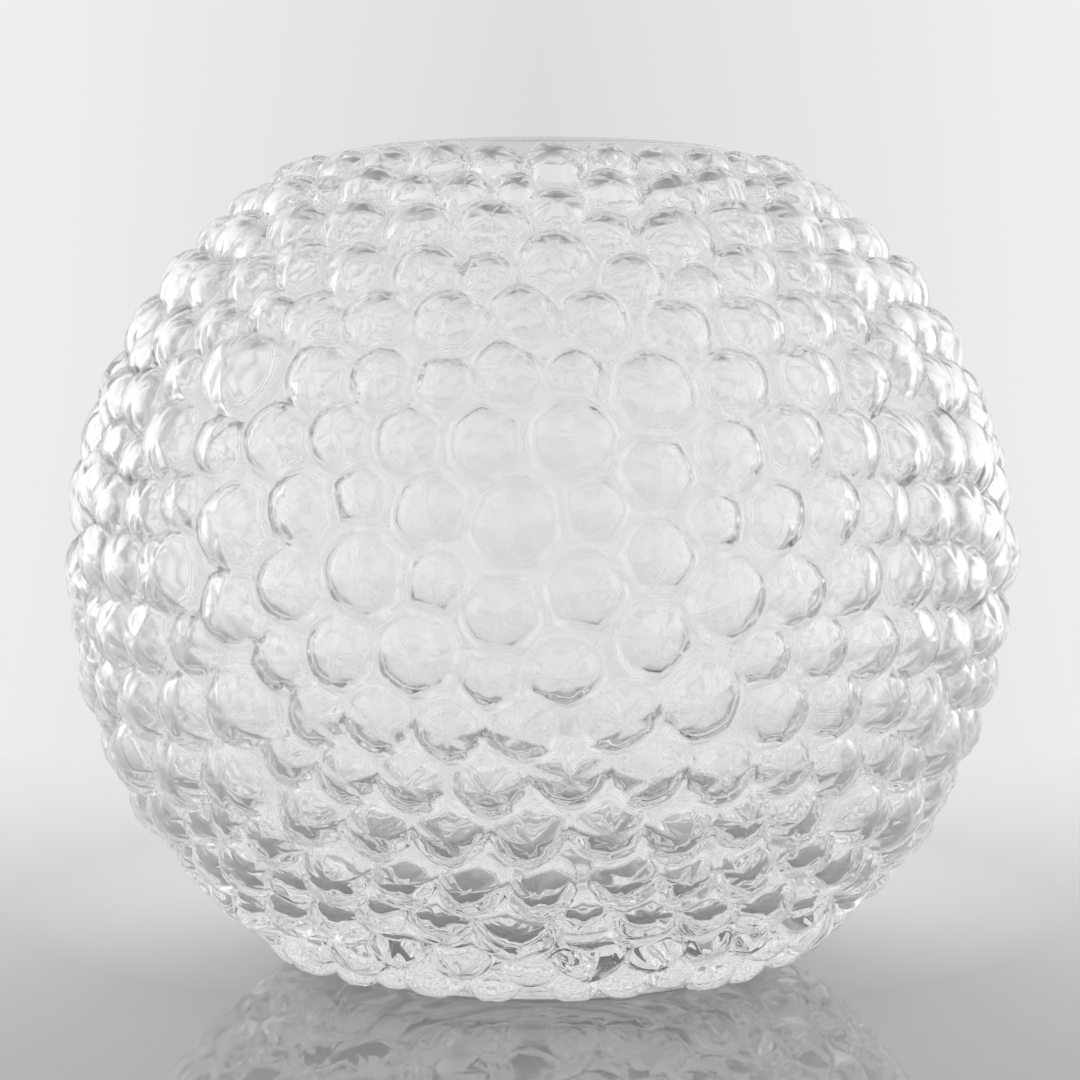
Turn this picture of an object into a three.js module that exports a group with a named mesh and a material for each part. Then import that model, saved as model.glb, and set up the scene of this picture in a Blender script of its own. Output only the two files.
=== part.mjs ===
// A clear glass vase: a globe cut off at the top and the bottom, mould-blown in one piece of
// glass and covered with raised, irregular hobnails. A plain rounded lip goes round the mouth, and
// the flat foot is hollowed a little, so that the vase rests on a ring.
// Millimetres, +Z up, with the origin at the middle of the foot, on the surface that it stands on.

import * as THREE from 'three';
import { ConvexHull } from 'three/addons/math/ConvexHull.js';

// Driving dimensions
const bellyDiameter = 284; // over the hobnails at the widest row
const height = 242; // from the table to the top of the lip
const lipRadius = 61; // outer edge of the lip
const footRadius = 63; // outer edge of the foot
const wall = 3.2; // glass between the hobnails
const floorThickness = 12; // height of the bowl's floor above the table
const bowlRounding = 14; // how softly the bowl's side turns into its floor
const restingWidth = 10; // flat ring of the foot that touches the table
const pushUp = 2.5; // hollow under the floor, at the axis
const lipBand = 9; // plain glass between the lip and the top row, along the wall
const footBand = 9; // plain glass between the foot and the bottom row, along the wall
const hobnailHeight = 6.5; // of a hobnail of middle size

// The pattern
const hobnailRows = 17;
const rowShare = Math.sqrt(3) / 2; // a row's step over the pitch along it, as in close packing
const rowCrowding = 0.68; // how much closer the rows lie towards the lip and the foot
const sizeSpread = 0.22; // how far a hobnail's size strays from the middle, either way
const placeSpread = 0.45; // how far its place strays from even spacing, as a share of a pitch
const settlingPasses = 24; // rounds in which hobnails that sit too close push each other apart
const settlingStep = 0.3;
// A sine wave so steep that its fraction is unordered, which scatters the hobnails
const scatterWave = { perCount: 12.9898, perKind: 78.233, size: 43758.5453 };
const shoulderShare = 0.66; // where a hobnail's top turns into its side, from its middle
const shoulderHeight = 0.7; // height there, over the height of its top

// Facets of the smooth surfaces
const turnSteps = 36;
const bowlSteps = 10;
const lipSteps = 4;

// The globe between the hobnails is an ellipsoid. Angles along it are called latitudes.
const globeRadius = bellyDiameter / 2 - hobnailHeight;
const lipLatitude = Math.acos(lipRadius / globeRadius);
const footLatitude = -Math.acos(footRadius / globeRadius);
const lipCrown = (wall / 2) * (1 - Math.sin(lipLatitude)); // rise of the round edge past the wall
const globeRise = (height - lipCrown) / (Math.sin(lipLatitude) - Math.sin(footLatitude));
const globeMiddle = -globeRise * Math.sin(footLatitude);

// Ends of the field of hobnails
const fieldTop = lipLatitude - lipBand / globeRadius;
const fieldBottom = footLatitude + footBand / globeRadius;

const fullTurn = 2 * Math.PI;
const goldenShare = (Math.sqrt(5) - 1) / 2;
const positions = [];
const triangles = [];

function addVertex(point) {
  positions.push(point.x, point.y, point.z);
  return positions.length / 3 - 1;
}

// An unordered number from -1 to 1 that is always the same for the same count and kind
function scatter(count, kind) {
  const angle = scatterWave.perCount * (count + 1) + scatterWave.perKind * kind;
  const wave = Math.sin(angle) * scatterWave.size;
  return 2 * (wave - Math.floor(wave)) - 1;
}

function directionAt(latitude, turn) {
  const reach = Math.cos(latitude);
  return new THREE.Vector3(reach * Math.cos(turn), reach * Math.sin(turn), Math.sin(latitude));
}

function turnOf(direction) {
  return (Math.atan2(direction.y, direction.x) + fullTurn) % fullTurn;
}

// Point of the wall's outline at a latitude, as radius and height, moved out along its normal
function outlineAt(latitude, lift) {
  const normal = new THREE.Vector2(globeRise * Math.cos(latitude), globeRadius * Math.sin(latitude));
  normal.normalize();
  const onGlobe = new THREE.Vector2(
    globeRadius * Math.cos(latitude),
    globeMiddle + globeRise * Math.sin(latitude),
  );
  return onGlobe.addScaledVector(normal, lift);
}

function globePoint(direction, lift) {
  const outline = outlineAt(Math.asin(THREE.MathUtils.clamp(direction.z, -1, 1)), lift);
  const turn = turnOf(direction);
  return new THREE.Vector3(outline.x * Math.cos(turn), outline.x * Math.sin(turn), outline.y);
}

// Latitude at a share of the field's height, with rows closer together towards both ends
function rowLatitude(share) {
  const middle = (fieldTop + fieldBottom) / 2;
  const half = (fieldTop - fieldBottom) / 2;
  return middle + half * (Math.sin(rowCrowding * (2 * share - 1)) / Math.sin(rowCrowding));
}

// One ring of hobnails, or of the fence that keeps the outer rings in place
function ringOfPoints(row, firstNumber, isFence) {
  const low = rowLatitude(row / hobnailRows);
  const high = rowLatitude((row + 1) / hobnailRows);
  const latitude = rowLatitude((row + 0.5) / hobnailRows);
  const pitch = (high - low) / rowShare;
  const count = Math.round((fullTurn * Math.cos(latitude)) / pitch);
  const jitter = isFence ? 0 : placeSpread;
  return Array.from({ length: count }, (_, place) => {
    const number = firstNumber + place;
    const along = place + goldenShare * row + jitter * scatter(number, 1);
    const across = latitude + jitter * pitch * scatter(number, 2);
    const size = isFence ? 1 : 1 + sizeSpread * scatter(number, 3);
    return { direction: directionAt(across, (fullTurn * along) / count), reach: (pitch * size) / 2, isFence };
  });
}

function layOutHobnails() {
  const points = [];
  for (let row = 0; row < hobnailRows; row += 1) {
    points.push(...ringOfPoints(row, points.length, false));
  }
  points.push(...ringOfPoints(-1, 0, true), ...ringOfPoints(hobnailRows, 0, true));
  return points;
}

// Neighbours that overlap push each other apart along the globe. The fence stays where it is.
function settle(points) {
  for (let pass = 0; pass < settlingPasses; pass += 1) {
    const shifts = points.map(() => new THREE.Vector3());
    for (let one = 0; one < points.length; one += 1) {
      for (let other = one + 1; other < points.length; other += 1) {
        const between = points[one].direction.clone().sub(points[other].direction);
        const overlap = points[one].reach + points[other].reach - between.length();
        if (overlap > 0) {
          between.setLength(settlingStep * overlap);
          shifts[one].add(between);
          shifts[other].sub(between);
        }
      }
    }
    points.forEach((point, index) => {
      if (!point.isFence) point.direction.add(shifts[index]).normalize();
    });
  }
}

// The hull of points on a sphere joins each to its neighbours. Where three meet, the valleys
// between them meet too, and beside the fence they end on the edge of the field.
function findValleyCorners(points) {
  points.forEach((point, index) => {
    point.direction.index = index;
  });
  const hull = new ConvexHull().setFromPoints(points.map((point) => point.direction));
  const corners = [];
  for (const face of hull.faces) {
    const members = [0, 1, 2].map((edge) => points[face.getEdge(edge).head().point.index]);
    const fence = members.find((member) => member.isFence);
    if (members.every((member) => member.isFence)) continue;
    const direction = new THREE.Vector3();
    members.forEach((member) => direction.add(member.direction));
    direction.normalize();
    const edge = fence && (fence.direction.z > 0 ? 'top' : 'bottom');
    if (edge) direction.copy(directionAt(edge === 'top' ? fieldTop : fieldBottom, turnOf(direction)));
    const corner = { direction, edge, turn: turnOf(direction), vertex: addVertex(globePoint(direction, 0)) };
    corners.push(corner);
    members.forEach((member) => {
      member.corners = [...(member.corners ?? []), corner];
    });
  }
  return corners;
}

// Puts a hobnail's valley corners in order round it, anticlockwise seen from outside
function sortCorners(hobnail) {
  const east = new THREE.Vector3(-hobnail.direction.y, hobnail.direction.x, 0).normalize();
  const north = hobnail.direction.clone().cross(east);
  const bearing = (corner) => Math.atan2(corner.direction.dot(north), corner.direction.dot(east));
  hobnail.corners.sort((one, other) => bearing(one) - bearing(other));
}

// A hobnail is a low dome: a top, a ring of shoulder points and its valley corners. A wide one
// stands higher than a narrow one.
function addHobnail(hobnail, middleWidth) {
  const lift = hobnailHeight * (hobnail.width / middleWidth);
  const top = addVertex(globePoint(hobnail.direction, lift));
  const shoulders = hobnail.corners.map((corner) => {
    const direction = hobnail.direction.clone().lerp(corner.direction, shoulderShare).normalize();
    return addVertex(globePoint(direction, lift * shoulderHeight));
  });
  hobnail.corners.forEach((corner, place) => {
    const next = (place + 1) % hobnail.corners.length;
    const nextCorner = hobnail.corners[next];
    triangles.push(top, shoulders[place], shoulders[next]);
    triangles.push(shoulders[place], corner.vertex, nextCorner.vertex);
    triangles.push(shoulders[place], nextCorner.vertex, shoulders[next]);
  });
}

function addHobnails(points) {
  const hobnails = points.filter((point) => !point.isFence);
  for (const hobnail of hobnails) {
    sortCorners(hobnail);
    const spans = hobnail.corners.map((corner) => corner.direction.distanceTo(hobnail.direction));
    hobnail.width = spans.reduce((sum, span) => sum + span) / spans.length;
  }
  const middleWidth = hobnails.reduce((sum, hobnail) => sum + hobnail.width, 0) / hobnails.length;
  hobnails.forEach((hobnail) => addHobnail(hobnail, middleWidth));
}

// A ring of evenly spaced vertices, or the one vertex where the outline meets the axis
function addRing(outline) {
  if (outline.x === 0) return [{ turn: 0, vertex: addVertex(new THREE.Vector3(0, 0, outline.y)) }];
  return Array.from({ length: turnSteps }, (_, step) => {
    const turn = (fullTurn * step) / turnSteps;
    const point = new THREE.Vector3(outline.x * Math.cos(turn), outline.x * Math.sin(turn), outline.y);
    return { turn, vertex: addVertex(point) };
  });
}

// Fills the band between two rings, whatever their counts, taking the nearer next vertex each time.
// The second ring lies further along the outline, which runs from the foot over the lip to the bowl.
function joinRings(first, second) {
  const turnAt = (ring, step) => ring[step % ring.length].turn + fullTurn * Math.floor(step / ring.length);
  const vertexAt = (ring, step) => ring[step % ring.length].vertex;
  const firstSteps = first.length > 1 ? first.length : 0;
  const secondSteps = second.length > 1 ? second.length : 0;
  let here = 0;
  let there = 0;
  while (here < firstSteps || there < secondSteps) {
    const firstLeads = turnAt(first, here + 1) < turnAt(second, there + 1);
    if (here < firstSteps && (there === secondSteps || firstLeads)) {
      triangles.push(vertexAt(first, here), vertexAt(first, here + 1), vertexAt(second, there));
      here += 1;
    } else {
      triangles.push(vertexAt(first, here), vertexAt(second, there + 1), vertexAt(second, there));
      there += 1;
    }
  }
}

function joinAll(rings) {
  rings.slice(1).forEach((ring, index) => joinRings(rings[index], ring));
}

// Underside of the foot: a shallow hollow inside the flat resting ring
function footRings() {
  const hollowRadius = footRadius - restingWidth;
  const hollowAt = (share) => new THREE.Vector2(hollowRadius * share, pushUp * (1 - share * share));
  const outline = [hollowAt(0), hollowAt(0.5), hollowAt(1), new THREE.Vector2(footRadius, 0)];
  return outline.map(addRing);
}

// The lip's round edge, from the outer wall over to the inner one
function lipRings() {
  const end = outlineAt(lipLatitude, 0);
  const outward = outlineAt(lipLatitude, 1).sub(end);
  const onward = new THREE.Vector2(-outward.y, outward.x);
  const middle = end.clone().addScaledVector(outward, -wall / 2);
  return Array.from({ length: lipSteps + 1 }, (_, step) => {
    const angle = (Math.PI * step) / lipSteps;
    const point = middle.clone().addScaledVector(outward, (wall / 2) * Math.cos(angle));
    return addRing(point.addScaledVector(onward, (wall / 2) * Math.sin(angle)));
  });
}

// The bowl follows the outer wall at the wall's thickness and runs softly into a flat floor
function bowlRings() {
  const lowest = -Math.PI / 2;
  return Array.from({ length: bowlSteps }, (_, step) => {
    const share = (step + 1) / bowlSteps;
    const point = outlineAt(THREE.MathUtils.lerp(lipLatitude, lowest, share), -wall);
    const overFloor = point.y - floorThickness;
    const eased = floorThickness + (overFloor + Math.hypot(overFloor, bowlRounding)) / 2;
    return addRing(new THREE.Vector2(share === 1 ? 0 : point.x, eased));
  });
}

const points = layOutHobnails();
settle(points);
const corners = findValleyCorners(points);
addHobnails(points);
const edgeRing = (edge) => corners.filter((corner) => corner.edge === edge).sort((a, b) => a.turn - b.turn);
joinAll([...footRings(), edgeRing('bottom')]);
joinAll([edgeRing('top'), ...lipRings(), ...bowlRings()]);

const geometry = new THREE.BufferGeometry();
geometry.setAttribute('position', new THREE.Float32BufferAttribute(positions, 3));
geometry.setIndex(triangles);
geometry.computeVertexNormals();

const clearGlass = new THREE.MeshStandardMaterial({ color: 0xdce4e2, roughness: 0.04, metalness: 0 });
const vaseBody = new THREE.Mesh(geometry, clearGlass);
vaseBody.name = 'vase_body';

const vase = new THREE.Group();
vase.name = 'glass_vase';
vase.add(vaseBody);

export default vase;
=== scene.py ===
"""Looks of a clear glass vase: a blown globe covered with raised, uneven hobnails.

The hobnails stand where the frame's solid has them, because their rows and their settling are worked out
in the same way. Here they are smooth domes, with saddles between those that touch and a dimple behind each
one. Metres, +Z up, origin at the middle of the foot.
"""

import math

import bmesh
import bpy
import numpy as np
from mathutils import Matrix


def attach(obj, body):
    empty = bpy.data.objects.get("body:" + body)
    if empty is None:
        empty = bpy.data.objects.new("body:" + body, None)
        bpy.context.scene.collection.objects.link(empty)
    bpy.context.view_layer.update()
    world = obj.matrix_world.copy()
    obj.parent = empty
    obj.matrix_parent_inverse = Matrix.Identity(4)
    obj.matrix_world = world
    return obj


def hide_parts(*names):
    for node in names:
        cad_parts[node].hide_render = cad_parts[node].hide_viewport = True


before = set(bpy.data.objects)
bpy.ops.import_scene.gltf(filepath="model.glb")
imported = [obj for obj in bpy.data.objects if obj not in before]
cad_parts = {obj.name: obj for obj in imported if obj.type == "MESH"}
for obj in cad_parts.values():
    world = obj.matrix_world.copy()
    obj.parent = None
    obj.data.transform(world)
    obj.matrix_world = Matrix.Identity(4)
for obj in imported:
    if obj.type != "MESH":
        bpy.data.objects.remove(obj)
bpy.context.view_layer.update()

MM = 0.001

# Sizes of the vase. Softening lowers the hobnails' tops a little from the solid's.
BELLY_DIAMETER = 284 * MM
HEIGHT = 241.9 * MM
LIP_RADIUS = 61 * MM
FOOT_RADIUS = 63 * MM
WALL = 3.2 * MM
FLOOR_THICKNESS = 12 * MM
BOWL_ROUNDING = 14 * MM
RESTING_WIDTH = 10 * MM
PUSH_UP = 2.5 * MM
LIP_BAND = 9 * MM
FOOT_BAND = 9 * MM
FOOT_EDGE = 2.0 * MM
HOBNAIL_HEIGHT = 6.5 * MM
SOFTENING = 0.3 * MM

# The pattern of hobnails: rows that crowd towards both ends, a scatter of sizes and places, and the settling
# that pushes neighbours apart. The scatter is a fast wave, with a number for each use.
HOBNAIL_ROWS = 17
ROW_SHARE = math.sqrt(3) / 2
ROW_CROWDING = 0.68
SIZE_SPREAD = 0.22
PLACE_SPREAD = 0.45
SETTLING_PASSES = 24
SETTLING_STEP = 0.3
SCATTER_WAVE = (12.9898, 78.233, 43758.5453)
SCATTER_ALONG = 1
SCATTER_ACROSS = 2
SCATTER_SIZE = 3

# The form of a hobnail: its circle's share of its cell's mean width, how sharply the cell cuts that circle,
# how its fall is shared between its top and its shoulder, how softly it lands, and how far the inside of the
# wall lies square to the outside's slope, rather than straight below it
HOBNAIL_FILL = 1.02
HOBNAIL_ROUNDNESS = 24.0
TOP_SHARE = 0.5
SHOULDER_POWER = 8.0
LANDING_POWER = 1.6
INSIDE_SHARE = 0.6

# The mesh: parts along each edge of a hobnail's cell, rings from a hobnail's middle to its foot, how near
# they come to the cell's rim, and the step over which slopes are measured
EDGE_PARTS = 3
OUTSIDE_RINGS = np.array([0.0, 0.45, 0.7, 0.88, 1.0])
INSIDE_RINGS = np.array([0.0, 0.5, 0.8, 1.02])
LAST_RING = 0.99
SMALL_STEP = 1e-4

# Points along the outlines that are carried round the axis
BAND_POINTS = 7
LIP_POINTS = 13
MOUTH_POINTS = 5
FLOOR_POINTS = 16
HOLLOW_POINTS = 10
FOOT_EDGE_POINTS = 6
FOOT_SIDE_POINTS = 4

# Decimals of a turn and of a place at which two points are one
TURN_DIGITS = 9
PLACE_DIGITS = 7

# The camera, from the photograph: how far off, how high, and its focal length in pixels of a 1080 frame
PHOTO_SIDE = 1080
CAMERA_DISTANCE = 800 * MM
CAMERA_HEIGHT = 168 * MM
FOCAL_PIXELS = 2644
HORIZON_PIXEL = 403
SENSOR = 36.0

# The table: its middle lies towards the camera, its edge fades, and its tones, painted light and shade, go
# from front to back: darkest just in front of the vase, lighter behind
TABLE_POINTS = 180
TABLE_RADIUS = 1500 * MM
TABLE_MIDDLE = -1012 * MM
TABLE_EDGE = 25 * MM
TABLE_GAP = 0.2 * MM
TABLE_SATIN = 0.025
TABLE_INDEX = 1.5
TABLE_LIGHT = 1.0
TABLE_PAINTED_SHADE_TONES = ((-600 * MM, 0.62), (-150 * MM, 0.38), (100 * MM, 0.56), (320 * MM, 0.74), (470 * MM, 0.8))

# A painted pool of light on the table, under the vase and behind it: lighter colour standing in for the
# light that the glass gathers there
PAINTED_LIGHT_MIDDLE = 100 * MM
PAINTED_LIGHT_RADIUS = 85 * MM
PAINTED_LIGHT_FADE = 95 * MM
PAINTED_LIGHT_TONE = 0.9

# The glass: its tint and index, how often light turns in it, how satin it is about the belly and how far
# above and below that reaches, the waves of its surface, and the few specks on it
GLASS_TINT = (0.996, 0.999, 0.998, 1)
GLASS_INDEX = 1.51
LIGHT_BOUNCES = 96
SATIN = 0.11
SATIN_MIDDLE = 145 * MM
SATIN_HALF = 108 * MM
SATIN_SPREAD = 0.02
WAVES_PER_METRE = 90
WAVE_HEIGHT = 0.04 * MM
SPECKS_PER_METRE = 260
SPECK_SIZE = 0.06
SPECK_SHARE = 0.03
SPECK_TINT = (0.4, 0.34, 0.28, 1)

# Tones of the studio, by degrees round from the backdrop to the camera's side, at heights in degrees
STUDIO_HEIGHTS = (-90, -15, 0, 12, 30, 50, 70, 90)
STUDIO_TONES = {
    0: (0.6, 0.67, 0.7, 0.74, 0.5, 0.28, 0.25, 0.3),
    20: (0.8, 0.93, 0.98, 0.96, 0.64, 0.36, 0.34, 0.3),
    50: (1.0, 1.14, 1.16, 1.14, 0.92, 0.66, 0.56, 0.3),
    90: (1.0, 1.14, 1.16, 1.14, 1.05, 1.0, 0.85, 0.3),
    180: (1.0, 1.05, 1.05, 1.02, 1.0, 1.0, 0.85, 0.3),
}

# Sockets of a Mix node for colours: the share, the two colours and the result
MIX_INPUTS = (0, 6, 7)
MIX_OUTPUT = 2

# Sizes that follow
GLOBE_RADIUS = BELLY_DIAMETER / 2 - HOBNAIL_HEIGHT
LIP_LATITUDE = math.acos(LIP_RADIUS / GLOBE_RADIUS)
FOOT_LATITUDE = -math.acos(FOOT_RADIUS / GLOBE_RADIUS)
LIP_CROWN = WALL / 2 * (1 - math.sin(LIP_LATITUDE))
GLOBE_RISE = (HEIGHT - LIP_CROWN) / (math.sin(LIP_LATITUDE) - math.sin(FOOT_LATITUDE))
GLOBE_MIDDLE = -GLOBE_RISE * math.sin(FOOT_LATITUDE)
FIELD_TOP = LIP_LATITUDE - LIP_BAND / GLOBE_RADIUS
FIELD_BOTTOM = FOOT_LATITUDE + FOOT_BAND / GLOBE_RADIUS
FULL_TURN = 2 * math.pi
GOLDEN_SHARE = (math.sqrt(5) - 1) / 2


def scatter(count, kind):
    """An unordered number from -1 to 1 for each count: the fraction of a fast sine wave."""
    count_step, kind_step, height = SCATTER_WAVE
    wave = np.sin(count_step * (count + 1) + kind_step * kind) * height
    return 2 * (wave - np.floor(wave)) - 1


def unit(vectors):
    """The vectors at length 1."""
    return vectors / np.linalg.norm(vectors, axis=-1, keepdims=True)


def direction_at(latitude, turn):
    """Direction from the globe's middle at a latitude and a turn round the axis."""
    reach = np.cos(latitude)
    return np.stack([reach * np.cos(turn), reach * np.sin(turn), np.sin(latitude) + 0 * turn], axis=-1)


def turn_of(directions):
    """Turn of a direction round the axis, from 0 to a full turn."""
    return np.mod(np.arctan2(directions[..., 1], directions[..., 0]), FULL_TURN)


def outline_at(latitude, lift):
    """Radius and height on the wall's outline, an ellipse, moved out along its normal by lift."""
    across = GLOBE_RISE * np.cos(latitude)
    along = GLOBE_RADIUS * np.sin(latitude)
    length = np.hypot(across, along)
    radius = GLOBE_RADIUS * np.cos(latitude) + lift * across / length
    height = GLOBE_MIDDLE + GLOBE_RISE * np.sin(latitude) + lift * along / length
    return radius, height


def spin(radius, height, turn):
    """Points at a radius and height, turned round the axis."""
    return np.stack([radius * np.cos(turn), radius * np.sin(turn), height + 0 * turn], axis=-1)


def globe_points(directions, lift):
    """Points of the wall in the given directions, moved out along its normal by lift."""
    radius, height = outline_at(np.arcsin(np.clip(directions[..., 2], -1, 1)), lift)
    return spin(radius, height, turn_of(directions))


def row_latitude(share):
    """Latitude at a share of the field's height: a sine, so that rows crowd towards both ends."""
    middle = (FIELD_TOP + FIELD_BOTTOM) / 2
    half = (FIELD_TOP - FIELD_BOTTOM) / 2
    return middle + half * math.sin(ROW_CROWDING * (2 * share - 1)) / math.sin(ROW_CROWDING)


def ring_of_points(row, first_number, is_fence):
    """Directions and reaches of one row, evenly spaced and then scattered, or of a fence row, left even."""
    low = row_latitude(row / HOBNAIL_ROWS)
    high = row_latitude((row + 1) / HOBNAIL_ROWS)
    latitude = row_latitude((row + 0.5) / HOBNAIL_ROWS)
    pitch = (high - low) / ROW_SHARE
    count = round(FULL_TURN * math.cos(latitude) / pitch)
    place = np.arange(count)
    number = first_number + place
    jitter = 0.0 if is_fence else PLACE_SPREAD
    spread = 0.0 if is_fence else SIZE_SPREAD
    along = place + GOLDEN_SHARE * row + jitter * scatter(number, SCATTER_ALONG)
    across = latitude + jitter * pitch * scatter(number, SCATTER_ACROSS)
    reach = pitch * (1 + spread * scatter(number, SCATTER_SIZE)) / 2
    return direction_at(across, FULL_TURN * along / count), reach


def lay_out_hobnails():
    """Directions and reaches of all hobnails, row by row from the foot, and then of the two fence rows."""
    rows = []
    for row in range(HOBNAIL_ROWS):
        rows.append(ring_of_points(row, sum(len(reach) for _, reach in rows), False))
    hobnails = sum(len(reach) for _, reach in rows)
    rows.append(ring_of_points(-1, 0, True))
    rows.append(ring_of_points(HOBNAIL_ROWS, 0, True))
    directions = np.concatenate([row[0] for row in rows])
    reaches = np.concatenate([row[1] for row in rows])
    return directions, reaches, hobnails


def settle(directions, reaches, hobnails):
    """Pushes overlapping neighbours apart along the globe, a share of the overlap at a time."""
    wanted = reaches[:, None] + reaches[None, :]
    for _ in range(SETTLING_PASSES):
        between = directions[:, None, :] - directions[None, :, :]
        apart = np.linalg.norm(between, axis=-1)
        np.fill_diagonal(apart, np.inf)
        overlap = np.maximum(wanted - apart, 0.0)
        shift = (between * (SETTLING_STEP * overlap / apart)[..., None]).sum(axis=1)
        directions[:hobnails] = unit(directions[:hobnails] + shift[:hobnails])
    return directions


def neighbour_triangles(directions):
    """Triangles of the hull of points on a sphere, each of three neighbours, anticlockwise from outside."""
    hull = bmesh.new()
    for direction in directions:
        hull.verts.new(direction)
    hull.verts.index_update()
    bmesh.ops.convex_hull(hull, input=hull.verts)
    bmesh.ops.triangulate(hull, faces=hull.faces)
    found = np.array([[vertex.index for vertex in face.verts] for face in hull.faces])
    hull.free()
    one, two, three = (directions[found[:, side]] for side in range(3))
    inward = np.einsum("ij,ij->i", np.cross(two - one, three - one), one) < 0
    found[inward] = found[inward][:, ::-1]
    return found


def cell_edges(directions, hobnails):
    """The edges of every hobnail's cell: its number, its neighbour's, and the valley corners at both ends.

    A corner lies in the middle of three neighbours. Beside a fence row it lies on the edge of the field.
    """
    triangles = neighbour_triangles(directions)
    triangles = triangles[(triangles < hobnails).any(axis=1)]
    corners = unit(directions[triangles].sum(axis=1))
    beside_fence = (triangles >= hobnails).any(axis=1)
    edge_latitude = np.where(corners[:, 2] > 0, FIELD_TOP, FIELD_BOTTOM)
    on_edge = direction_at(edge_latitude, turn_of(corners))
    corners[beside_fence] = on_edge[beside_fence]

    start = triangles.ravel()
    end = np.roll(triangles, -1, axis=1).ravel()
    face = np.repeat(np.arange(len(triangles)), 3)
    key = start * len(directions) + end
    order = np.argsort(key)
    inside = start < hobnails
    twin_key = end[inside] * len(directions) + start[inside]
    twin = face[order][np.searchsorted(key[order], twin_key)]
    return start[inside], end[inside], corners[twin], corners[face[inside]]


def hobnail_cells():
    """Middles, edge ends and mean widths of the cells, edge by edge, and which edges end the field."""
    directions, reaches, hobnails = lay_out_hobnails()
    directions = settle(directions, reaches, hobnails)
    owner, neighbour, first, last = cell_edges(directions, hobnails)
    on_fence = neighbour >= hobnails
    cells = {"middle": directions[owner][:, None], "beside": directions[neighbour][:, None],
             "first": first, "last": last, "on_fence": on_fence}
    span = np.linalg.norm(cell_rims(cells, edge_shares()) - cells["middle"], axis=-1)
    edges = np.bincount(owner, minlength=hobnails)
    width = np.bincount(owner, weights=span.mean(axis=1), minlength=hobnails) / edges
    shared = (width[owner] + width[np.where(on_fence, owner, neighbour)]) / 2
    cells["width"] = width[owner][:, None, None]
    cells["shared_width"] = shared[:, None]
    cells["height_per_width"] = (HOBNAIL_HEIGHT - SOFTENING) / width.mean()
    return cells


def edge_shares():
    """Shares of the way along a cell's edge."""
    return np.linspace(0, 1, EDGE_PARTS + 1)


def cell_rims(cells, shares):
    """Directions along each cell edge at the given shares, level where the edge ends the field."""
    share = shares[None, :, None]
    rim = unit(cells["first"][:, None] * (1 - share) + cells["last"][:, None] * share)
    edge_latitude = np.where(rim[..., 2] > 0, FIELD_TOP, FIELD_BOTTOM)
    return np.where(cells["on_fence"][:, None, None], direction_at(edge_latitude, turn_of(rim)), rim)


def hobnail_reach(cells, span):
    """How far a hobnail reaches along each spoke: circle a and rim b joined by (a^-k + b^-k)^(-1/k)."""
    circle = HOBNAIL_FILL * cells["width"]
    return (circle**-HOBNAIL_ROUNDNESS + span**-HOBNAIL_ROUNDNESS) ** (-1 / HOBNAIL_ROUNDNESS)


def hobnail_profile(share):
    """Height and slope of a hobnail of height 1 at share x of its reach: (1 - m x^2 - (1 - m) x^n)^p."""
    share = np.minimum(share, 1.0)
    left = np.maximum(1 - TOP_SHARE * share**2 - (1 - TOP_SHARE) * share**SHOULDER_POWER, 0.0)
    fall = 2 * TOP_SHARE * share + SHOULDER_POWER * (1 - TOP_SHARE) * share ** (SHOULDER_POWER - 1)
    return left**LANDING_POWER, -LANDING_POWER * left ** (LANDING_POWER - 1) * fall


def saddle_height(cells, rim, shares):
    """Height of the saddle where two hobnails meet: a hobnail's of their mean width, at their mean distance.

    Times 4 s (1 - s) at share s of the edge, so it ends at the corners. Beside a fence row there is none.
    """
    apart = np.linalg.norm(rim - cells["middle"], axis=-1) + np.linalg.norm(rim - cells["beside"], axis=-1)
    rise, _ = hobnail_profile(apart / (2 * HOBNAIL_FILL * cells["shared_width"]))
    height = cells["height_per_width"] * cells["shared_width"] * rise * 4 * shares * (1 - shares)
    return np.where(cells["on_fence"][:, None], 0.0, height)[..., None]


def wall_along_spokes(cells, shares, along):
    """Rims and spans at shares of the cells' edges, and the wall's lift and slope along each spoke."""
    rim = cell_rims(cells, shares)
    span = np.linalg.norm(rim - cells["middle"], axis=-1)[..., None]
    reach = hobnail_reach(cells, span)
    rise, fall = hobnail_profile(along * span / reach)
    saddle = saddle_height(cells, rim, shares)
    drop = cells["height_per_width"] * cells["width"] - saddle
    return rim, span, saddle + drop * rise, drop * fall / (reach * GLOBE_RADIUS)


def stations(cells, shares, rings):
    """Shares of the way to the rim along each spoke: the hobnail's rings, and then the rim itself."""
    span = np.linalg.norm(cell_rims(cells, shares) - cells["middle"], axis=-1)[..., None]
    along = np.minimum(rings * hobnail_reach(cells, span) / span, LAST_RING)
    return np.concatenate([along, np.ones_like(span)], axis=-1)


def spoke_directions(cells, rim, along):
    """Directions at shares of the way from the cells' middles to their rims."""
    middle = cells["middle"][:, :, None]
    return unit(middle + (rim[:, :, None] - middle) * along[..., None])


def outside_wall(cells, shares, along):
    """Points of the outside of the wall: the globe, raised by the hobnails."""
    rim, _, lift, _ = wall_along_spokes(cells, shares, along)
    return globe_points(spoke_directions(cells, rim, along), lift)


def inside_wall(cells, shares, along):
    """Points of the inside: the outside moved in by the wall, partly square to the slope and partly not."""
    rim, span, lift, slope = wall_along_spokes(cells, shares, along)
    steepness = np.hypot(1.0, slope)
    inwards = WALL / steepness
    moved = along + INSIDE_SHARE * inwards * slope / (GLOBE_RADIUS * span)
    lowered = lift - WALL + INSIDE_SHARE * (WALL - inwards)
    points = globe_points(spoke_directions(cells, rim, moved), lowered)
    points[..., 2] = bowl_height(points[..., 2])
    return points


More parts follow.
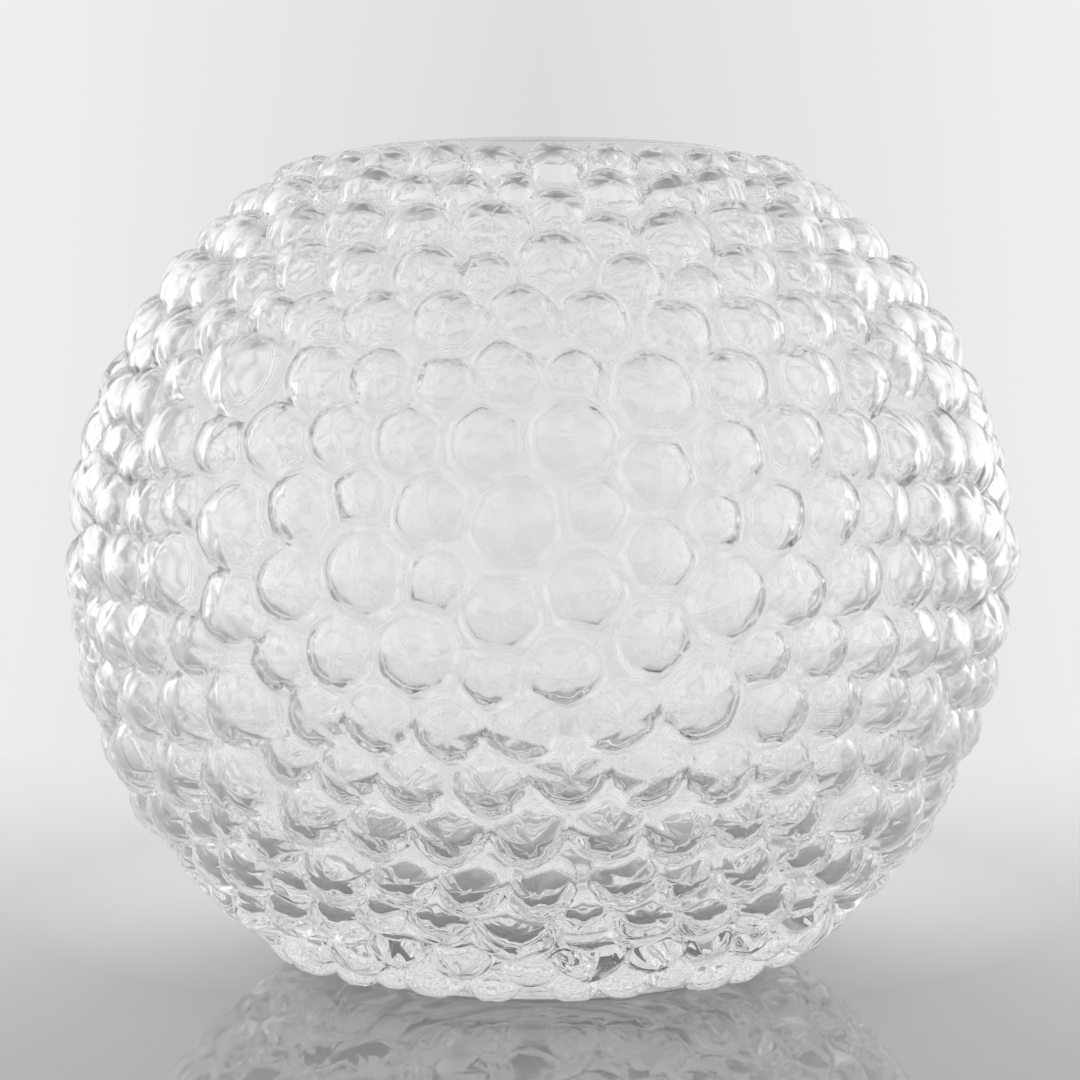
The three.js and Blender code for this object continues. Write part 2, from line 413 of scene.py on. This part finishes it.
def with_normals(surface, cells, rings):
    """Points of a side of the wall as a grid of edge, part along the edge and station along the spoke.

    The normals come from small steps along the edge and along the spoke.
    """
    shares = edge_shares()
    along = stations(cells, shares, rings)
    points = surface(cells, shares, along)
    sideways = surface(cells, shares + SMALL_STEP, along) - points
    outwards = surface(cells, shares, along + SMALL_STEP) - points
    normals = np.cross(outwards, sideways)
    normals[..., 0, :] = cells["middle"]
    return points, unit(normals)


def bowl_height(height):
    """Height on the inside of the bowl, eased into its floor by z + sqrt(z^2 + k^2)."""
    over_floor = height - FLOOR_THICKNESS
    return FLOOR_THICKNESS + (over_floor + np.hypot(over_floor, BOWL_ROUNDING)) / 2


def lip_outline():
    """Outline from the field's top edge, over the lip's half round, to the same height inside the bowl."""
    band = outline_at(np.linspace(FIELD_TOP, LIP_LATITUDE, BAND_POINTS), 0.0)
    end = np.array(outline_at(LIP_LATITUDE, 0.0))
    outward = np.array(outline_at(LIP_LATITUDE, 1.0)) - end
    onward = np.array([-outward[1], outward[0]])
    angle = np.linspace(0, math.pi, LIP_POINTS)[1:-1]
    middle = end - outward * WALL / 2
    lip = middle[:, None] + WALL / 2 * (np.outer(outward, np.cos(angle)) + np.outer(onward, np.sin(angle)))
    radius, height = outline_at(np.linspace(LIP_LATITUDE, FIELD_TOP, MOUTH_POINTS), -WALL)
    return np.concatenate([band, lip, [radius, bowl_height(height)]], axis=1)


def floor_outline():
    """Outline of the bowl's floor, from the dimples' bottom edge to the middle."""
    radius, height = outline_at(np.linspace(FIELD_BOTTOM, -math.pi / 2, FLOOR_POINTS), -WALL)
    radius[-1] = 0.0
    return np.array([radius, bowl_height(height)])


def foot_outline():
    """Outline from the middle of the hollow under the foot, over the resting ring, to the field's edge."""
    share = np.linspace(0, 1, HOLLOW_POINTS)
    hollow = (FOOT_RADIUS - RESTING_WIDTH) * share, PUSH_UP * (1 - share**2)
    turn = np.linspace(0, 1, FOOT_EDGE_POINTS)
    edge_latitude = FOOT_LATITUDE + FOOT_EDGE / GLOBE_RADIUS
    wall_end = np.array(outline_at(edge_latitude, 0.0))[:, None]
    corner = np.array([FOOT_RADIUS, 0.0])[:, None]
    flat_end = np.array([FOOT_RADIUS - FOOT_EDGE, 0.0])[:, None]
    edge = flat_end * (1 - turn) ** 2 + 2 * corner * turn * (1 - turn) + wall_end * turn**2
    side = outline_at(np.linspace(edge_latitude, FIELD_BOTTOM, FOOT_SIDE_POINTS)[1:], 0.0)
    return np.concatenate([hollow, edge, side], axis=1)


def spun_surface(outline, turns):
    """Grid of points, an outline carried round the axis through the given turns, and its normals."""
    radius, height = outline
    across = np.gradient(height)
    along = -np.gradient(radius)
    points = spin(radius[:, None], height[:, None], turns[None, :])
    normals = spin(across[:, None], along[:, None] + 0 * turns[None, :], turns[None, :])
    return points, unit(normals)


def grid_faces(rows, columns, closed):
    """Corner numbers of the quads of a grid whose points are numbered row by row."""
    number = np.arange(rows * columns).reshape(rows, columns)
    if closed:
        number = np.concatenate([number, number[:, :1]], axis=1)
    quads = [number[:-1, :-1], number[:-1, 1:], number[1:, 1:], number[1:, :-1]]
    return np.stack(quads, axis=-1).reshape(-1, 4)


def patch_faces(patches, rows, columns):
    """Corner numbers of the quads of many grids of the same size, one after another."""
    one = grid_faces(rows, columns, False)
    return (one[None] + (np.arange(patches) * rows * columns)[:, None, None]).reshape(-1, 4)


def welded_mesh(name, points, normals, quads):
    """A smooth mesh of the points and quads, with points at one place made one and shut sides dropped."""
    places = np.round(points, PLACE_DIGITS)
    _, kept, number = np.unique(places, axis=0, return_index=True, return_inverse=True)
    quads = number.reshape(-1)[quads]
    faces = []
    for side in range(4):
        shut = quads[:, side] == quads[:, (side + 1) % 4]
        faces += np.delete(quads[shut], side, axis=1).tolist()
        quads = quads[~shut]
    mesh = bpy.data.meshes.new(name)
    mesh.from_pydata(points[kept], [], faces + quads.tolist())
    mesh.shade_smooth()
    mesh.normals_split_custom_set_from_vertices(normals[kept])
    return mesh


def vase_mesh():
    """The whole glass body as one closed surface: foot, hobnails, lip and bowl."""
    cells = hobnail_cells()
    edge = cell_rims(cells, edge_shares())[cells["on_fence"]]
    top_turns = np.unique(np.round(turn_of(edge[edge[..., 2] > 0]), TURN_DIGITS))
    bottom_turns = np.unique(np.round(turn_of(edge[edge[..., 2] < 0]), TURN_DIGITS))
    outside, outside_normals = with_normals(outside_wall, cells, OUTSIDE_RINGS)
    inside, inside_normals = with_normals(inside_wall, cells, INSIDE_RINGS)
    grids = [(outside, outside_normals, patch_faces(*outside.shape[:3])),
             (inside, -inside_normals, patch_faces(*inside.shape[:3])[:, ::-1])]
    for outline, turns in ((foot_outline(), bottom_turns), (lip_outline(), top_turns),
                           (floor_outline(), bottom_turns)):
        grids.append((*spun_surface(outline, turns), grid_faces(len(outline[0]), len(turns), True)))
    points = np.concatenate([grid[0].reshape(-1, 3) for grid in grids])
    normals = np.concatenate([grid[1].reshape(-1, 3) for grid in grids])
    firsts = np.cumsum([0] + [grid[0].size // 3 for grid in grids[:-1]])
    quads = np.concatenate([grid[2] + first for grid, first in zip(grids, firsts)])
    return welded_mesh("vase_glass", points, normals, quads)


def add_object(name, mesh):
    """Links a mesh into the scene as an object at the origin."""
    made = bpy.data.objects.new(name, mesh)
    bpy.context.scene.collection.objects.link(made)
    return made


def new_material(name):
    """An empty node material and its output."""
    material = bpy.data.materials.new(name)
    material.use_nodes = True
    material.node_tree.nodes.clear()
    return material, material.node_tree, material.node_tree.nodes.new("ShaderNodeOutputMaterial")


def math_node(tree, operation, *values):
    """A math node of the tree, with sockets linked and numbers set, and its output."""
    node = tree.nodes.new("ShaderNodeMath")
    node.operation = operation
    for socket, value in zip(node.inputs, values):
        if isinstance(value, (int, float)):
            socket.default_value = value
        else:
            tree.links.new(value, socket)
    return node.outputs["Value"]


def grey_ramp(tree, share, stops):
    """A ramp of greys over a share from 0 to 1, given as positions and tones."""
    node = tree.nodes.new("ShaderNodeValToRGB")
    tree.links.new(share, node.inputs["Fac"])
    ramp = node.color_ramp
    ramp.elements.remove(ramp.elements[1])
    for index, (position, tone) in enumerate(stops):
        stop = ramp.elements[0] if index == 0 else ramp.elements.new(position)
        stop.position = position
        stop.color = (tone, tone, tone, 1)
    return node.outputs["Color"]


def mix_colours(tree, share, first, second):
    """A mix of two colours by a share, and its output."""
    node = tree.nodes.new("ShaderNodeMix")
    node.data_type = "RGBA"
    for number, value in zip(MIX_INPUTS, (share, first, second)):
        if isinstance(value, tuple):
            node.inputs[number].default_value = value
        else:
            tree.links.new(value, node.inputs[number])
    return node.outputs[MIX_OUTPUT]


def noise(tree, place, per_metre):
    """Soft noise from 0 to 1, with the given number of waves in a metre."""
    node = tree.nodes.new("ShaderNodeTexNoise")
    node.inputs["Scale"].default_value = per_metre
    tree.links.new(place, node.inputs["Vector"])
    return node.outputs["Fac"]


def clear_glass():
    """Clear blown glass: hardly tinted, faintly satin and wavy, with a few specks."""
    material, tree, output = new_material("clear_glass")
    place = tree.nodes.new("ShaderNodeTexCoord").outputs["Object"]
    glass = tree.nodes.new("ShaderNodeBsdfPrincipled")
    glass.inputs["IOR"].default_value = GLASS_INDEX
    glass.inputs["Transmission Weight"].default_value = 1.0
    specks = tree.nodes.new("ShaderNodeTexVoronoi")
    specks.inputs["Scale"].default_value = SPECKS_PER_METRE
    tree.links.new(place, specks.inputs["Vector"])
    near = math_node(tree, "LESS_THAN", specks.outputs["Distance"], SPECK_SIZE)
    chosen = tree.nodes.new("ShaderNodeSeparateColor")
    tree.links.new(specks.outputs["Color"], chosen.inputs["Color"])
    few = math_node(tree, "LESS_THAN", chosen.outputs["Red"], SPECK_SHARE)
    mask = math_node(tree, "MULTIPLY", near, few)
    tree.links.new(mix_colours(tree, mask, GLASS_TINT, SPECK_TINT), glass.inputs["Base Color"])
    waves = noise(tree, place, WAVES_PER_METRE)
    split = tree.nodes.new("ShaderNodeSeparateXYZ")
    tree.links.new(place, split.inputs["Vector"])
    away = math_node(tree, "MULTIPLY_ADD", split.outputs["Z"], 1 / SATIN_HALF, -SATIN_MIDDLE / SATIN_HALF)
    away = math_node(tree, "MULTIPLY", away, away)
    satin = math_node(tree, "MULTIPLY_ADD", away, -SATIN, SATIN)
    satin.node.use_clamp = True
    satin = math_node(tree, "MULTIPLY_ADD", waves, SATIN_SPREAD, satin)
    tree.links.new(satin, glass.inputs["Roughness"])
    bump = tree.nodes.new("ShaderNodeBump")
    bump.inputs["Distance"].default_value = WAVE_HEIGHT
    tree.links.new(waves, bump.inputs["Height"])
    tree.links.new(bump.outputs["Normal"], glass.inputs["Normal"])
    tree.links.new(glass.outputs["BSDF"], output.inputs["Surface"])
    return material


def table_top():
    """Pale glossy table, with painted shade darkest in front of the vase and painted light under and behind
    the vase, that ends in a soft edge behind it.
    """
    material, tree, output = new_material("table_top")
    place = tree.nodes.new("ShaderNodeTexCoord").outputs["Object"]
    split = tree.nodes.new("ShaderNodeSeparateXYZ")
    tree.links.new(place, split.inputs["Vector"])
    first = TABLE_PAINTED_SHADE_TONES[0][0]
    length = TABLE_PAINTED_SHADE_TONES[-1][0] - first
    depth = math_node(tree, "MULTIPLY_ADD", split.outputs["Y"], 1 / length, -first / length)
    gloss = tree.nodes.new("ShaderNodeBsdfPrincipled")
    # Painted light and shade: the table's colour is darkest just in front of the vase and lighter towards
    # the back
    tone = grey_ramp(tree, depth, [((at - first) / length, tone) for at, tone in TABLE_PAINTED_SHADE_TONES])
    # Painted light: a lighter pool of colour on the table under and behind the vase
    painted_light_spot = tree.nodes.new("ShaderNodeVectorMath")
    painted_light_spot.operation = "DISTANCE"
    painted_light_spot.inputs[1].default_value = (0.0, PAINTED_LIGHT_MIDDLE, 0.0)
    tree.links.new(place, painted_light_spot.inputs[0])
    outside = math_node(tree, "SUBTRACT", painted_light_spot.outputs["Value"], PAINTED_LIGHT_RADIUS)
    faded = math_node(tree, "DIVIDE", outside, PAINTED_LIGHT_FADE)
    faded.node.use_clamp = True
    light = (PAINTED_LIGHT_TONE, PAINTED_LIGHT_TONE, PAINTED_LIGHT_TONE, 1)
    tree.links.new(mix_colours(tree, faded, light, tone), gloss.inputs["Base Color"])
    gloss.inputs["Roughness"].default_value = TABLE_SATIN
    gloss.inputs["IOR"].default_value = TABLE_INDEX
    reach = tree.nodes.new("ShaderNodeVectorMath")
    reach.operation = "DISTANCE"
    reach.inputs[1].default_value = (0.0, TABLE_MIDDLE, 0.0)
    tree.links.new(place, reach.inputs[0])
    inside = math_node(tree, "SUBTRACT", TABLE_RADIUS, reach.outputs["Value"])
    edge = math_node(tree, "DIVIDE", inside, TABLE_EDGE)
    edge.node.use_clamp = True
    tree.links.new(edge, gloss.inputs["Alpha"])
    tree.links.new(gloss.outputs["BSDF"], output.inputs["Surface"])
    return material


def add_table():
    """A large round table top, of which the far edge lies a little behind the vase."""
    mesh = bpy.data.meshes.new("table")
    turn = np.linspace(0, FULL_TURN, TABLE_POINTS, endpoint=False)
    rim = spin(TABLE_RADIUS, -TABLE_GAP, turn) + [0.0, TABLE_MIDDLE, 0.0]
    mesh.from_pydata(rim.tolist(), [], [list(range(len(rim)))])
    table = add_object("table", mesh)
    table.data.materials.append(table_top())


def studio_tone(tree):
    """Tone of the studio in a direction: ramps over the height, mixed by how far round it lies."""
    place = tree.nodes.new("ShaderNodeTexCoord")
    split = tree.nodes.new("ShaderNodeSeparateXYZ")
    tree.links.new(place.outputs["Generated"], split.inputs["Vector"])
    height = math_node(tree, "ARCSINE", split.outputs["Z"])
    height = math_node(tree, "MULTIPLY_ADD", height, 1 / math.pi, 0.5)
    sideways = math_node(tree, "ABSOLUTE", split.outputs["X"])
    turn = math_node(tree, "ARCTAN2", sideways, split.outputs["Y"])
    turn = math_node(tree, "DEGREES", turn)
    positions = [0.5 + degrees / 180 for degrees in STUDIO_HEIGHTS]
    ramps = [grey_ramp(tree, height, zip(positions, tones)) for tones in STUDIO_TONES.values()]
    turns = list(STUDIO_TONES)
    tone = ramps[0]
    for passed, reached, ramp in zip(turns, turns[1:], ramps[1:]):
        part = math_node(tree, "SUBTRACT", turn, passed)
        part = math_node(tree, "DIVIDE", part, reached - passed)
        part.node.use_clamp = True
        tone = mix_colours(tree, part, tone, ramp)
    return tone


def add_world():
    """The studio: its tones, as the camera, glass and gloss see them, and an even light on the table."""
    world = bpy.data.worlds.new("studio")
    bpy.context.scene.world = world
    world.use_nodes = True
    tree = world.node_tree
    tree.nodes.clear()
    output = tree.nodes.new("ShaderNodeOutputWorld")
    background = tree.nodes.new("ShaderNodeBackground")
    tree.links.new(background.outputs["Background"], output.inputs["Surface"])
    path = tree.nodes.new("ShaderNodeLightPath")
    seen = math_node(tree, "MAXIMUM", path.outputs["Is Camera Ray"], path.outputs["Is Glossy Ray"])
    seen = math_node(tree, "MAXIMUM", seen, path.outputs["Is Transmission Ray"])
    even = (TABLE_LIGHT, TABLE_LIGHT, TABLE_LIGHT, 1)
    tree.links.new(mix_colours(tree, seen, even, studio_tone(tree)), background.inputs["Color"])


def add_camera():
    """The photograph's camera: level with the upper half of the vase and turned down a little."""
    data = bpy.data.cameras.new("camera")
    data.sensor_width = SENSOR
    data.lens = SENSOR * FOCAL_PIXELS / PHOTO_SIDE
    camera = bpy.data.objects.new("camera", data)
    bpy.context.scene.collection.objects.link(camera)
    camera.location = (0.0, -CAMERA_DISTANCE, CAMERA_HEIGHT)
    dip = math.atan((PHOTO_SIDE / 2 - HORIZON_PIXEL) / FOCAL_PIXELS)
    camera.rotation_euler = (math.pi / 2 - dip, 0.0, 0.0)
    bpy.context.scene.camera = camera


add_camera()
add_world()
add_table()

vase = add_object("vase_glass", vase_mesh())
vase.data.materials.append(clear_glass())
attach(vase, "root")
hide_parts("vase_body")

scene = bpy.context.scene
scene.view_settings.view_transform = "Standard"
scene.cycles.max_bounces = LIGHT_BOUNCES
scene.cycles.transmission_bounces = LIGHT_BOUNCES
scene.cycles.glossy_bounces = LIGHT_BOUNCES
